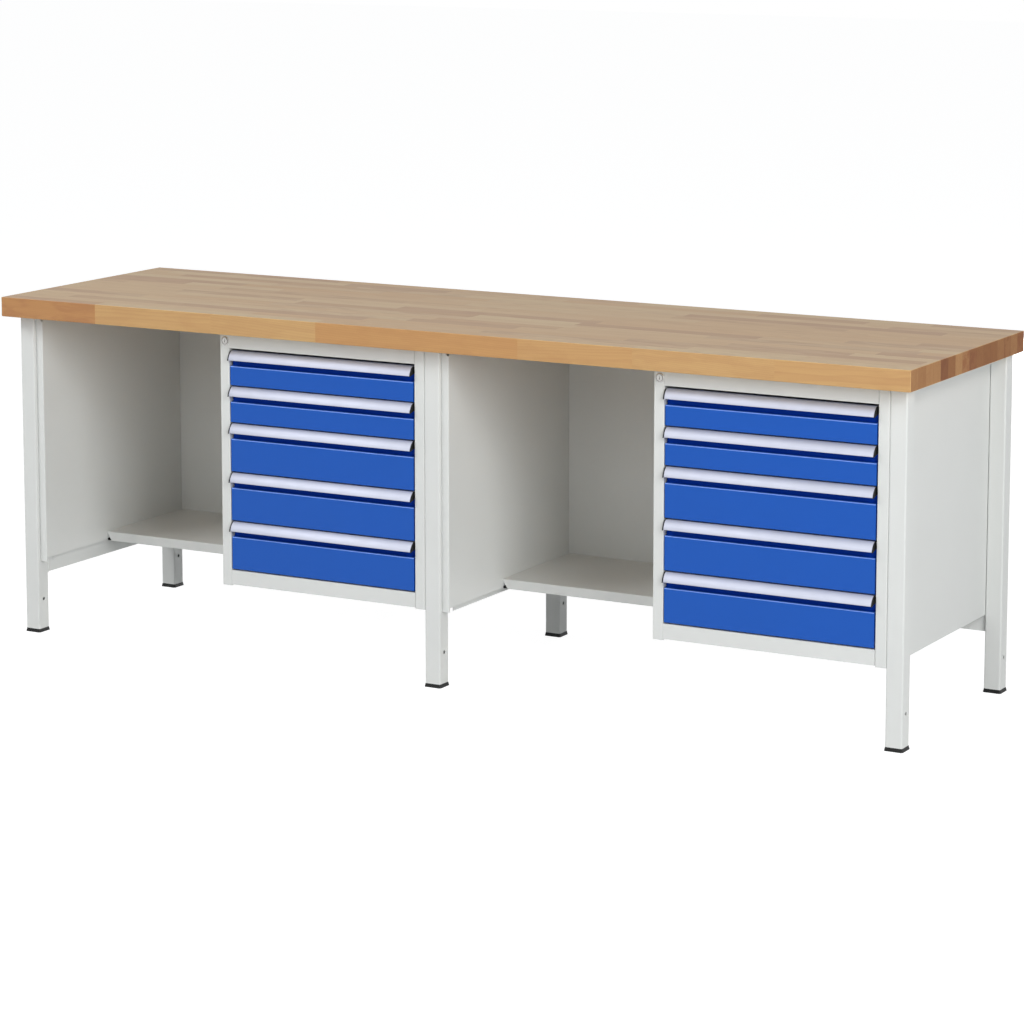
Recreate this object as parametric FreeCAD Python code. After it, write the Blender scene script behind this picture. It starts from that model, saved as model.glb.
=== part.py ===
"""A box workbench: a beech top on three welded leg frames, with two drawer cabinets and two open bays.

Millimetres. +X runs along the bench, +Y to its back and +Z up. The origin is on the floor under the
middle of the worktop. Each sub-part is written to parts/ under its own name.
"""
import FreeCAD, Part
import math
import os
from FreeCAD import Vector

# The whole bench
bench_length = 2500.0
bench_depth = 700.0
bench_height = 880.0
sheet = 1.2
overrun = 5.0

# Worktop
worktop_thickness = 50.0
worktop_arris = 1.5
worktop_front_overhang = 45.0
worktop_side_overhang = 25.0
worktop_rear_overhang = 2.5

# Leg frames
leg_width = 42.0
leg_wall = 2.0
leg_corner = 4.0
leg_hole_radius = 4.5
leg_hole_height = 86.0
top_bar_width = 24.0
top_bar_height = 20.0
top_bar_wall = 2.5
lower_rail_drop = 40.0

# Plastic feet pushed into the legs
foot_height = 9.0
foot_flare = 2.2
foot_corner = 2.4
foot_plug_length = 18.0
foot_plug_clearance = 0.3

# Screws that hold the worktop on the frames
screw_radius = 3.0
screw_hole_radius = 3.3
screw_head_size = 10.0
screw_head_height = 4.0
screw_depth = 34.0
screw_end_distance = 60.0
screws_per_bar = 2

# Folded side panels, which stand off the legs
panel_standoff = 20.0
panel_front_setback = 10.0
panel_return = 14.0
panel_bend = 2.2
panel_rise = 5.0
panel_top_gap = 1.0
panel_flange_drop = 10.0
panel_lip_drop = 18.0
panel_lip_inset = 20.0
panel_notch_width = 5.0
panel_notch_height = 14.0

# Folded back panels between the rear legs
back_setback = 30.0
back_fit_gap = 1.0
back_drop = 46.0

# Half-depth shelves in the two open bays
shelf_rise = 28.0
shelf_lip = 24.0
shelf_depth = 348.0
shelf_lip_mitre = 14.0
shelf_corner = 2.0

# Drawer cabinet casings
cabinet_width = 587.0
cabinet_gap = 0.5
cabinet_back_gap = 13.0
stile_width = 27.0
stile_return = 15.0
stile_bend = 2.5
stile_drop = 3.0
top_rail_height = 39.5
top_rail_flange = 26.0
bottom_rail_height = 36.5

# Drawers, from the lowest to the highest
top_pitch = 90.0
small_pitch = 93.0
large_pitch = 124.0
drawer_pitches = [large_pitch, large_pitch, large_pitch, small_pitch, top_pitch]
front_gap = 3.0
top_gap = 6.0
front_bend = 2.5
front_depth = 12.0
recess_height = 39.0
recess_slope_height = 2.0
tray_sheet = 1.0
tray_side_gap = 14.0
tray_lift = 5.0
tray_headroom = 31.0
tray_hem = 6.0

# Aluminium handle strip and its plastic end caps
handle_wall = 1.8
handle_drop = 22.6
handle_reach = 13.2
handle_bulge = 3.0
handle_web_drop = 16.0
handle_top_land = 2.0
cap_thickness = 2.5

# Telescopic drawer slides: a fixed, a middle and a drawer member, one inside the other
slide_sheet = 1.2
slide_height = 36.0
slide_depth = 12.5
slide_clearance = 0.6
slide_setback = 38.0
slide_rear_clearance = 34.0
slide_wall_gap = 0.5
bracket_sheet = 1.5
bracket_foot = 16.0
bracket_inset = 40.0

# Cylinder lock, its cam and the bar that it lifts
lock_edge_distance = 16.0
lock_drop = 22.0
rim_radius = 11.0
rim_height = 2.0
barrel_radius = 9.0
barrel_length = 22.0
core_radius = 7.0
core_clearance = 0.08
core_length = 24.0
core_proud = 1.2
keyway_width = 1.8
keyway_height = 8.5
keyway_depth = 4.0
cam_thickness = 2.5
cam_pin_radius = 2.0
cam_pin_length = 4.5
cam_margin = 2.2
cam_clearance = 0.5
bar_thickness = 3.0
bar_wall_gap = 0.4
bar_width = 11.4
bar_fork_clearance = 0.35
bar_head = 9.0
bar_foot_gap = 12.0
bar_travel = 12.0
tab_height = 9.0
tab_reach = 9.0
tab_clearance = 2.0
lug_sheet = 3.0
lug_reach = 9.0
lug_gap = 1.0

# Places that follow from the sizes above
underside = bench_height - worktop_thickness
left_end = -bench_length / 2
right_end = bench_length / 2
front_edge = -bench_depth / 2
rear_edge = bench_depth / 2
frame_front = front_edge + worktop_front_overhang
frame_rear = rear_edge - worktop_rear_overhang
frame_lefts = {
    "left": left_end + worktop_side_overhang,
    "centre": -leg_width / 2,
    "right": right_end - worktop_side_overhang - leg_width,
}
leg_fronts = [frame_front, frame_rear - leg_width]
back_face = frame_rear - back_setback
cabinet_rights = {
    "left": frame_lefts["centre"] - cabinet_gap,
    "right": frame_lefts["right"] - cabinet_gap,
}
cabinet_rear = back_face - cabinet_back_gap
opening_top = underside - top_rail_height
opening_bottom = opening_top - sum(drawer_pitches) - top_gap
cabinet_bottom = opening_bottom - bottom_rail_height
shelf_top = cabinet_bottom + shelf_rise
panel_bottom = cabinet_bottom + panel_rise
back_bottom = cabinet_bottom - back_drop
lower_rail_bottom = cabinet_bottom - lower_rail_drop
front_back = frame_front + front_depth + sheet
slide_front = frame_front + slide_setback
slide_rear = cabinet_rear - slide_rear_clearance
mid_height = slide_height - 2 * (slide_sheet + slide_clearance)
inner_height = mid_height - 2 * (slide_sheet + slide_clearance)
lock_height = underside - lock_drop
cam_radius = bar_travel / math.sqrt(2)
cam_front = frame_front + core_length
bar_front = cam_front + cam_thickness + cam_clearance
bar_rear = bar_front + bar_thickness
tab_bottom = slide_height + tab_clearance
lug_bottom = tab_bottom + bar_travel


def box(x, y, z):
    """A box from its (low, high) pairs along the three axes."""
    return Part.makeBox(x[1] - x[0], y[1] - y[0], z[1] - z[0], Vector(x[0], y[0], z[0]))


def tube(radius, start, end):
    """A round bar between two points."""
    run = end - start
    return Part.makeCylinder(radius, run.Length, start, run)


def join(shapes):
    """One solid from shapes that overlap or touch over faces."""
    return shapes[0].multiFuse(shapes[1:]).removeSplitter()


def outline(points, place):
    """A closed wire through (u, v, radius) corners, each rounded by its radius."""
    starts, ends, middles = [], [], []
    for i, (u, v, radius) in enumerate(points):
        corner = Vector(u, v, 0)
        back = Vector(points[i - 1][0], points[i - 1][1], 0) - corner
        ahead = Vector(points[(i + 1) % len(points)][0], points[(i + 1) % len(points)][1], 0) - corner
        back.normalize()
        ahead.normalize()
        if radius == 0:
            starts.append(corner)
            ends.append(corner)
            middles.append(None)
            continue
        half = back.getAngle(ahead) / 2
        reach = radius / math.tan(half)
        inward = (back + ahead).normalize()
        starts.append(corner + back * reach)
        ends.append(corner + ahead * reach)
        middles.append(corner + inward * (radius / math.sin(half) - radius))
    edges = []
    for i in range(len(points)):
        first, last = ends[i - 1], starts[i]
        edges.append(Part.LineSegment(place(first.x, first.y), place(last.x, last.y)).toShape())
        if middles[i]:
            arc = [place(p.x, p.y) for p in (starts[i], middles[i], ends[i])]
            edges.append(Part.Arc(*arc).toShape())
    return Part.Wire(edges)


def along_x(points, x):
    """A (y, z, radius) outline drawn out along X."""
    wire = outline(points, lambda y, z: Vector(x[0], y, z))
    return Part.Face(wire).extrude(Vector(x[1] - x[0], 0, 0))


def along_y(points, y):
    """An (x, z, radius) outline drawn out along Y."""
    wire = outline(points, lambda x, z: Vector(x, y[0], z))
    return Part.Face(wire).extrude(Vector(0, y[1] - y[0], 0))


def along_z(points, z):
    """An (x, y, radius) outline drawn out along Z."""
    wire = outline(points, lambda x, y: Vector(x, y, z[0]))
    return Part.Face(wire).extrude(Vector(0, 0, z[1] - z[0]))


def folded(path, thickness, bend):
    """The corners of a sheet folded along a path, with its second face to the left of the path.

    Each fold is rounded on its outside by bend.
    """
    near, far = [], []
    for i, (u, v) in enumerate(path):
        here = Vector(u, v, 0)
        runs = []
        if i > 0:
            runs.append((here - Vector(*path[i - 1], 0)).normalize())
        if i < len(path) - 1:
            runs.append((Vector(*path[i + 1], 0) - here).normalize())
        normals = [Vector(-run.y, run.x, 0) for run in runs]
        if len(runs) == 1:
            shift = normals[0] * thickness
            near_bend = far_bend = 0
        else:
            shift = (normals[0] + normals[1]) * (thickness / (1 + normals[0].dot(normals[1])))
            turns_to_far = runs[0].cross(runs[1]).z * thickness > 0
            near_bend, far_bend = (bend, 0) if turns_to_far else (0, bend)
        near.append((u, v, near_bend))
        far.append((u + shift.x, v + shift.y, far_bend))
    return near + far[::-1]


def rounded_square(low, size, radius):
    """The corners of a square of one size from its low corner, rounded by one radius."""
    (x, y) = low
    return [(x, y, radius), (x + size, y, radius), (x + size, y + size, radius), (x, y + size, radius)]


def worktop():
    """The laminated beech board with eased edges. Its screws cut their own way into the wood."""
    board = box((left_end, right_end), (front_edge, rear_edge), (underside, bench_height))
    return board.makeChamfer(worktop_arris, board.Edges)


def bar_span(side):
    """Where the top bar of a frame lies along X: against the inner half of the legs."""
    left = frame_lefts[side]
    if side == "right":
        return (left, left + top_bar_width)
    if side == "left":
        return (left + leg_width - top_bar_width, left + leg_width)
    return (-top_bar_width / 2, top_bar_width / 2)


def screw_places():
    """The (x, y) of each worktop screw."""
    first = leg_fronts[0] + leg_width + screw_end_distance
    step = (leg_fronts[1] - screw_end_distance - first) / (screws_per_bar - 1)
    for side in frame_lefts:
        for i in range(screws_per_bar):
            yield sum(bar_span(side)) / 2, first + i * step


def leg_frame(side):
    """Two square tube legs with a channel welded between their tops, and a lower rail on the open end."""
    left = frame_lefts[side]
    pieces = []
    for front in leg_fronts:
        leg = along_z(rounded_square((left, front), leg_width, leg_corner), (foot_height, underside))
        leg = leg.cut(box((left + leg_wall, left + leg_width - leg_wall), (front + leg_wall, front + leg_width - leg_wall),
                          (0, underside - leg_wall)))
        middle = front + leg_width / 2
        leg = leg.cut(tube(leg_hole_radius, Vector(left + leg_width / 2, middle, leg_hole_height),
                           Vector(left + leg_width + overrun, middle, leg_hole_height)))
        pieces.append(leg)
    span = (leg_fronts[0] + leg_width, leg_fronts[1])
    low, high = bar_span(side)
    channel = folded([(high, underside - top_bar_height), (high, underside), (low, underside),
                      (low, underside - top_bar_height)], top_bar_wall, 0)
    pieces.append(along_y(channel, span))
    if side == "left":
        rail = rounded_square((left, lower_rail_bottom), leg_width, leg_corner)
        inside = box((left + leg_wall, left + leg_width - leg_wall), span,
                     (lower_rail_bottom + leg_wall, lower_rail_bottom + leg_width - leg_wall))
        pieces.append(along_y(rail, span).cut(inside))
    frame = join(pieces)
    for x, y in screw_places():
        if low < x < high:
            frame = frame.cut(tube(screw_hole_radius, Vector(x, y, underside - top_bar_height),
                                   Vector(x, y, underside + overrun)))
    return frame


def foot(left, front):
    """A plastic foot: a plug inside the leg and a sole that flares out under it."""
    inset = leg_wall + foot_plug_clearance
    plug = box((left + inset, left + leg_width - inset), (front + inset, front + leg_width - inset),
               (foot_height / 2, foot_height + foot_plug_length))
    wires = []
    for height, grown in ((foot_height, 0), (0, foot_flare)):
        low, high, cut = -grown, leg_width + grown, foot_corner + grown / 2
        corners = [(low + cut, low), (high - cut, low), (high, low + cut), (high, high - cut),
                   (high - cut, high), (low + cut, high), (low, high - cut), (low, low + cut)]
        ring = [Vector(left + x, front + y, height) for x, y in corners]
        wires.append(Part.makePolygon(ring + ring[:1]))
    return join([Part.makeLoft(wires, True, True), plug])


def leg_feet():
    """The six feet."""
    return [foot(left, front) for left in frame_lefts.values() for front in leg_fronts]


def worktop_screws():
    """The coach screws that hold the board down, with their hexagon heads under the top bars."""
    screws = []
    head_top = underside - top_bar_wall
    for x, y in screw_places():
        shank = tube(screw_radius, Vector(x, y, head_top), Vector(x, y, underside + screw_depth))
        corner_distance = screw_head_size / math.sqrt(3)
        turns = [math.radians(60 * i) for i in range(6)]
        corners = [(x + corner_distance * math.cos(turn), y + corner_distance * math.sin(turn), 0) for turn in turns]
        screws.append(join([along_z(corners, (head_top - screw_head_height, head_top)), shank]))
    return screws


def side_panel(side):
    """A folded panel on the right of a frame: a face off the legs, with returns that are screwed to them."""
    leg_face = frame_lefts[side] + leg_width
    face = leg_face + panel_standoff
    front = frame_front + panel_front_setback
    top = underside - panel_top_gap
    flange_bottom = panel_bottom - panel_flange_drop
    path = [(leg_face, front + panel_return), (leg_face, front), (face, front), (face, back_face),
            (leg_face, back_face), (leg_face, back_face - panel_return)]
    body = along_z(folded(path, sheet, panel_bend), (flange_bottom, top))
    inside = (front + panel_notch_width, back_face - panel_notch_width)
    body = body.cut(box((face - 2 * sheet, face + overrun), inside, (flange_bottom - overrun, panel_bottom)))
    corner = (face - panel_notch_width, face + overrun)
    for notch in ((front - overrun, inside[0]), (inside[1], back_face + overrun)):
        body = body.cut(box(corner, notch, (top - panel_notch_height, top + overrun)))
    hem = folded([(leg_face, panel_bottom - panel_lip_drop), (leg_face, panel_bottom + sheet),
                  (face - sheet, panel_bottom + sheet)], -sheet, 0)
    lip = (leg_fronts[0] + leg_width + panel_lip_inset, leg_fronts[1] - panel_lip_inset)
    return join([body, along_y(hem, lip)])


def back_panel(left, right):
    """A shallow tray between two rear legs, with its flanges turned to the back."""
    span = (left + back_fit_gap, right - back_fit_gap)
    height = (back_bottom, underside - panel_top_gap)
    tray = box(span, (back_face, frame_rear), height)
    hollow = box((span[0] + sheet, span[1] - sheet), (back_face + sheet, frame_rear + overrun),
                 (height[0] + sheet, height[1] - sheet))
    return tray.cut(hollow)


def shelf(side):
    """A half-depth shelf with its edges folded down, and a front lip cut to a mitre at both ends."""
    panel = "left" if side == "left" else "centre"
    left = frame_lefts[panel] + leg_width + panel_standoff
    right = cabinet_rights[side] - cabinet_width
    front = back_face - shelf_depth
    bottom = shelf_top - shelf_lip
    tray = box((left, right), (front, back_face), (bottom, shelf_top))
    tray = tray.makeFillet(shelf_corner, [edge for edge in tray.Edges
                                          if edge.BoundBox.YMax < front + sheet
                                          and edge.BoundBox.ZMin > shelf_top - sheet])
    tray = tray.cut(box((left + sheet, right - sheet), (front + sheet, back_face - sheet),
                        (bottom - overrun, shelf_top - sheet)))
    base = bottom - overrun
    for end, inward in ((left, shelf_lip_mitre), (right, -shelf_lip_mitre)):
        wedge = [(end, base, 0), (end, shelf_top - 2 * sheet, 0), (end + inward, bottom, 0), (end + inward, base, 0)]
        tray = tray.cut(along_y(wedge, (front - overrun, front + 2 * sheet)))
    return tray


def cabinet_span(side):
    """The left and right faces of a cabinet."""
    return (cabinet_rights[side] - cabinet_width, cabinet_rights[side])


def opening_span(side):
    """The left and right edges of a cabinet's drawer opening."""
    left, right = cabinet_span(side)
    return (left + stile_width, right - stile_width)


def casing_side(wall, inward, bottom):
    """A side wall with its front stile and the stile's return. inward is 1 on the left wall and -1 on the right."""
    edge = wall + inward * stile_width
    path = [(wall, cabinet_rear), (wall, frame_front), (edge, frame_front), (edge, frame_front + stile_return)]
    return along_z(folded(path, inward * sheet, stile_bend), (bottom, underside))


def cabinet_casing(side):
    """The casing: two folded sides, a top rail, a bottom pan with its front rail, and a back wall."""
    left, right = cabinet_span(side)
    opening = opening_span(side)
    stile_bottom = cabinet_bottom - stile_drop
    left_side = casing_side(left, 1, stile_bottom)
    lock = Vector(left + lock_edge_distance, frame_front - overrun, lock_height)
    left_side = left_side.cut(tube(barrel_radius, lock, lock + Vector(0, 2 * overrun, 0)))
    right_side = casing_side(right, -1, stile_bottom)
    top_rail = folded([(frame_front + top_rail_flange, underside), (frame_front, underside),
                       (frame_front, opening_top), (frame_front + stile_return, opening_top)], sheet, 0)
    front_rail = folded([(frame_front + stile_return, opening_bottom), (frame_front, opening_bottom),
                         (frame_front, cabinet_bottom), (cabinet_rear - sheet, cabinet_bottom)], sheet, 0)
    back = box((left + sheet, right - sheet), (cabinet_rear - sheet, cabinet_rear), (stile_bottom, underside))
    return [left_side, right_side, along_x(top_rail, opening), along_x(front_rail, opening), back]


def channel_slide(back, mouth, low, height, y):
    """A slide member: a channel with its web at back and its mouth at mouth."""
    turn = -1 if mouth > back else 1
    path = [(mouth, low), (back, low), (back, low + height), (mouth, low + height)]
    return along_y(folded(path, turn * slide_sheet, 0), y)


def slide_places(side):
    """For each side of a drawer: the opening's edge, the way in from it, and the casing's wall."""
    left, right = cabinet_span(side)
    edges = opening_span(side)
    return [(edges[0], 1, left + sheet), (edges[1], -1, right - sheet)]


def fixed_slides(side, front_bottom):
    """The pair of fixed members, each on two angled brackets that are fixed to the casing's side."""
    low = front_bottom + tray_lift
    slides = []
    for edge, inward, wall in slide_places(side):
        back = edge + inward * slide_wall_gap
        member = channel_slide(back, edge + inward * slide_depth, low, slide_height, (slide_front, slide_rear))
        pieces = [member]
        for y in (slide_front + bracket_inset, slide_rear - bracket_inset):
            bracket = folded([(wall, y - bracket_foot), (wall, y), (back, y)], -inward * bracket_sheet, 0)
            pieces.append(along_z(bracket, (low + slide_sheet, low + slide_height - slide_sheet)))
        slides.append(join(pieces))
    return slides


def cabinet_slides():
    """All the fixed slide members of both cabinets."""
    return [slide for side in cabinet_rights for low, high in front_heights()
            for slide in fixed_slides(side, low)]


def mid_slides(side, front_bottom):
    """The pair of middle members, inside the fixed ones."""
    step = slide_sheet + slide_clearance
    low = front_bottom + tray_lift + step
    members = []
    for edge, inward, wall in slide_places(side):
        back = edge + inward * (slide_wall_gap + step)
        members.append(channel_slide(back, edge + inward * slide_depth, low, mid_height, (slide_front, slide_rear)))
    return members


def front_heights():
    """The bottom and top of each drawer front, from the lowest drawer up."""
    low = opening_bottom + front_gap
    for pitch in drawer_pitches:
        yield low, low + pitch - front_gap
        low += pitch


def drawer_tray(side, low, high):
    """The steel tray, the lug welded to its side that the lock bar's tab holds, and its two slide members."""
    edges = opening_span(side)
    x = (edges[0] + tray_side_gap, edges[1] - tray_side_gap)
    y = (front_back, slide_rear)
    z = (low + tray_lift, high + front_gap - tray_headroom)
    tray = box(x, y, z)
    tray = tray.cut(box((x[0] + tray_sheet, x[1] - tray_sheet), (y[0] + tray_sheet, y[1] - tray_sheet),
                        (z[0] + tray_sheet, z[1] + overrun)))
    hems = [box((x[0], x[0] + tray_hem), y, (z[1] - tray_sheet, z[1])),
            box((x[1] - tray_hem, x[1]), y, (z[1] - tray_sheet, z[1]))]
    lug_front = bar_rear + lug_gap
    lug_low = z[0] + lug_bottom
    lug = box((x[0] - lug_reach, x[0]), (lug_front, lug_front + lug_sheet), (lug_low, lug_low + tab_height))
    step = slide_sheet + slide_clearance
    members = []
    for edge, inward, wall in slide_places(side):
        back = edge + inward * tray_side_gap
        mouth = edge + inward * (slide_wall_gap + 2 * step)
        members.append(channel_slide(back, mouth, z[0] + 2 * step, inner_height, (slide_front, slide_rear)))
    return [join([tray] + hems), lug] + members


def drawer_front(side, low, high):
    """The folded front: a flat face, a sloping finger recess above it, and flanges at both ends."""
    edges = opening_span(side)
    x = (edges[0] + front_gap, edges[1] - front_gap)
    face, recess = frame_front, frame_front + front_depth
    bend = high - recess_height
    path = [(front_back, low), (face, low), (face, bend), (recess, bend + recess_slope_height), (recess, high)]
    skin = folded(path, -sheet, front_bend)
    outer = skin[:len(path)] + [(front_back, high, 0)]
    hollow = [(y, z, 0) for y, z, rounding in skin[len(path) + 1:]]
    hollow += [(front_back + overrun, low + sheet, 0), (front_back + overrun, hollow[0][1], 0)]
    return along_x(outer, x).cut(along_x(hollow, (x[0] + sheet, x[1] - sheet)))


def handle_curve(drop):
    """The middle point of the handle's curved face, for an arc that starts and ends drop inside it."""
    start = Vector(frame_front + handle_top_land, -drop, 0)
    end = Vector(frame_front - handle_reach + drop, -handle_drop, 0)
    chord = end - start
    outward = Vector(chord.y, -chord.x, 0).normalize()
    return start, start + chord / 2 + outward * handle_bulge, end


def handle_outline(high, place, solid):
    """The handle's section, or, for a solid one, the outline that its end caps fill."""
    web_back = frame_front + front_depth
    web_front = web_back - handle_wall
    start, middle, end = handle_curve(0)
    points = [Vector(web_back, 0, 0), start]
    edges = [(Part.LineSegment, points), (Part.Arc, [start, middle, end])]
    web_low = Vector(web_back, -handle_web_drop, 0)
    if solid:
        edges.append((Part.LineSegment, [end, web_low]))
    else:
        inner_start, inner_middle, inner_end = handle_curve(handle_wall)
        edges.append((Part.LineSegment, [end, inner_end]))
        edges.append((Part.Arc, [inner_end, inner_middle, inner_start]))
        edges.append((Part.LineSegment, [inner_start, Vector(web_front, -handle_wall, 0)]))
        edges.append((Part.LineSegment, [Vector(web_front, -handle_wall, 0),
                                         Vector(web_front, -handle_web_drop, 0)]))
        edges.append((Part.LineSegment, [Vector(web_front, -handle_web_drop, 0), web_low]))
    edges.append((Part.LineSegment, [web_low, Vector(web_back, 0, 0)]))
    wire = [kind(*[place(p.x, high + p.y) for p in ends]).toShape() for kind, ends in edges]
    return Part.Wire(wire)


def drawer_handle(side, low, high):
    """The aluminium handle strip over the recess, with a cap on each end."""
    edges = opening_span(side)
    left, right = edges[0] + front_gap, edges[1] - front_gap
    pieces = []
    for x, solid in (((left, left + cap_thickness), True), ((left + cap_thickness, right - cap_thickness), False),
                     ((right - cap_thickness, right), True)):
        wire = handle_outline(high, lambda y, z, at=x[0]: Vector(at, y, z), solid)
        pieces.append(Part.Face(wire).extrude(Vector(x[1] - x[0], 0, 0)))
    return pieces


def lock_centre(side):
    """The lock's centre on the cabinet's front."""
    return Vector(cabinet_span(side)[0] + lock_edge_distance, frame_front, lock_height)


def lock_barrels():
    """The lock housings: a raised rim on the stile and a body behind it."""
    barrels = []
    for side in cabinet_rights:
        at = lock_centre(side)
        rim = tube(rim_radius, at - Vector(0, rim_height, 0), at)
        body = tube(barrel_radius, at, at + Vector(0, barrel_length, 0))
        bore = tube(core_radius + core_clearance, at - Vector(0, rim_height + overrun, 0),
                    at + Vector(0, barrel_length + overrun, 0))
        barrels.append(join([rim, body]).cut(bore))
    return barrels


def lock_core(side):
    """The turning core with its keyway, and the cam arm and pin behind it. It is shown unlocked."""
    at = lock_centre(side)
    core = tube(core_radius, at - Vector(0, rim_height + core_proud, 0), at + Vector(0, core_length + cam_thickness, 0))
    front = at.y - rim_height - core_proud
    keyway = box((at.x - keyway_width / 2, at.x + keyway_width / 2), (front - overrun, front + keyway_depth),
                 (at.z - keyway_height / 2, at.z + keyway_height / 2))
    pin_at = Vector(at.x - bar_travel / 2, cam_front, at.z - bar_travel / 2)
    arm_radius = cam_pin_radius + cam_margin
    out = Vector(-1, 0, -1).normalize() * arm_radius
    across = Vector(1, 0, -1).normalize() * arm_radius
    hub = Vector(at.x, cam_front, at.z)
    tip = pin_at + out
    corners = [hub + across, hub - across, tip - across, tip + across, hub + across]
    arm = Part.Face(Part.makePolygon(corners)).extrude(Vector(0, cam_thickness, 0))
    pin = tube(cam_pin_radius, pin_at, pin_at + Vector(0, cam_thickness + cam_pin_length, 0))
    return join([core.cut(keyway), arm, pin])


def lock_bar(side):
    """The bar behind the left stile: a fork that the cam's pin lifts, and a tab for each drawer."""
    left = cabinet_span(side)[0] + sheet + bar_wall_gap
    opening_left = opening_span(side)[0]
    at = lock_centre(side)
    pin_height = at.z - bar_travel / 2
    x = (left, left + bar_width)
    bar = box(x, (bar_front, bar_rear), (opening_bottom + bar_foot_gap, pin_height + bar_head))
    fork_reach = at.x - cam_radius - cam_pin_radius - bar_fork_clearance
    half = cam_pin_radius + bar_fork_clearance
    fork = box((fork_reach, x[1] + overrun), (bar_front - overrun, bar_rear + overrun),
               (pin_height - half, pin_height + half))
    tabs = []
    for low, high in front_heights():
        base = low + tray_lift + tab_bottom
        tabs.append(box((x[1], opening_left + tab_reach), (bar_front, bar_rear), (base, base + tab_height)))
    return join([bar.cut(fork)] + tabs)


def export(name, shapes):
    """Writes one sub-part, of one or more solids, to its own file."""
    solids = shapes if isinstance(shapes, list) else [shapes]
    whole = solids[0] if len(solids) == 1 else Part.makeCompound(solids)
    whole.exportStep(os.path.join("parts", name + ".step"))


def build():
    """Every sub-part under its own name."""
    parts = {"worktop": worktop(), "leg_feet": leg_feet(), "worktop_screws": worktop_screws(),
             "cabinet_slides": cabinet_slides(), "lock_barrels": lock_barrels()}
    for side in frame_lefts:
        parts[side + "_leg_frame"] = leg_frame(side)
    for side in ("left", "centre"):
        parts[side + "_side_panel"] = side_panel(side)
    parts["left_back_panel"] = back_panel(frame_lefts["left"] + leg_width, frame_lefts["centre"])
    parts["right_back_panel"] = back_panel(frame_lefts["centre"] + leg_width, frame_lefts["right"])
    for side in cabinet_rights:
        parts[side + "_shelf"] = shelf(side)
        parts[side + "_cabinet_casing"] = cabinet_casing(side)
        parts[side + "_lock_core"] = lock_core(side)
        parts[side + "_lock_bar"] = lock_bar(side)
        # Drawers are counted from the top down
        for number, (low, high) in enumerate(reversed(list(front_heights())), 1):
            name = "%s_drawer_%d_" % (side, number)
            parts[name + "tray"] = drawer_tray(side, low, high)
            parts[name + "front"] = drawer_front(side, low, high)
            parts[name + "handle"] = drawer_handle(side, low, high)
            parts[name + "mid_slides"] = mid_slides(side, low)
    return parts


os.makedirs("parts", exist_ok=True)
for part_name, part_shapes in build().items():
    export(part_name, part_shapes)
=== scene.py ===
"""A beech-topped workbench with two drawer cabinets and two open bays, on a pale studio floor.

Metres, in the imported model's frame: +X runs along the bench, +Y to its back, and +Z up from the floor.
"""
import bpy
import math
from mathutils import Matrix, Vector


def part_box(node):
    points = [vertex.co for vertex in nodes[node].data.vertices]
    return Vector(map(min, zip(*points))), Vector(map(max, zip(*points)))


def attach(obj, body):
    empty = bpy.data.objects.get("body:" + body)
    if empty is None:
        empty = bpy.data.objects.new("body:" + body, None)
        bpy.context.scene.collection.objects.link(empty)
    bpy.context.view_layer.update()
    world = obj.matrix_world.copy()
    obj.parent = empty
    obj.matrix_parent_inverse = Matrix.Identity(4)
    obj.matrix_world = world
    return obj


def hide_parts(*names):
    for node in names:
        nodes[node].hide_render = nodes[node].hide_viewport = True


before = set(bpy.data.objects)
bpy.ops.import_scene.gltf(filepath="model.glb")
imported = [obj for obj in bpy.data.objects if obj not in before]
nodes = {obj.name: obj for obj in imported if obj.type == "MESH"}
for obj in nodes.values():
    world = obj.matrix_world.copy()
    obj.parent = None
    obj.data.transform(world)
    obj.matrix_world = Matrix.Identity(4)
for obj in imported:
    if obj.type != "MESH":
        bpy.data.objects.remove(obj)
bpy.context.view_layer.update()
bpy.ops.object.select_all(action="DESELECT")


# The leg frames are square steel tubes, welded together and then powder coated in light grey.
# The coat is a satin one with a fine orange peel, and it hides the steel everywhere.
coat_grey = (0.694, 0.708, 0.690)
coat_roughness = 0.42
coat_gleam = 0.5
coat_tones = (0.975, 1.025)
coat_gloss_spread = 0.04
coat_peel_size = 0.0011
coat_peel_depth = 0.00002
coat_peel_strength = 0.5
coat_cloud_size = 0.16


def start_group(name, inputs, outputs):
    """A shader node group with (name, kind, value) inputs and (name, kind) outputs."""
    group = bpy.data.node_groups.new(name, "ShaderNodeTree")
    for title, kind, value in inputs:
        socket = group.interface.new_socket(title, in_out="INPUT", socket_type="NodeSocket" + kind)
        if value is not None:
            socket.default_value = value
    for title, kind in outputs:
        group.interface.new_socket(title, in_out="OUTPUT", socket_type="NodeSocket" + kind)
    return group, group.nodes.new("NodeGroupInput").outputs, group.nodes.new("NodeGroupOutput").inputs


def feed(tree, socket, value):
    """Gives a socket a plain value or a link."""
    if isinstance(value, bpy.types.NodeSocket):
        tree.links.new(value, socket)
    else:
        socket.default_value = value


def add_node(tree, kind, values, **settings):
    """A node with its settings, and with its inputs fed by name or number."""
    node = tree.nodes.new("ShaderNode" + kind)
    for title, setting in settings.items():
        setattr(node, title, setting)
    for title, value in values.items():
        feed(tree, node.inputs[title], value)
    return node


def work_out(tree, operation, *values):
    """The result of one Math node."""
    return add_node(tree, "Math", dict(enumerate(values)), operation=operation).outputs[0]


def remap(tree, value, source, target):
    """A value carried from one range to another, and held inside it."""
    return add_node(tree, "MapRange", {"Value": value, "From Min": source[0], "From Max": source[1],
                                       "To Min": target[0], "To Max": target[1]}).outputs[0]


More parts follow.
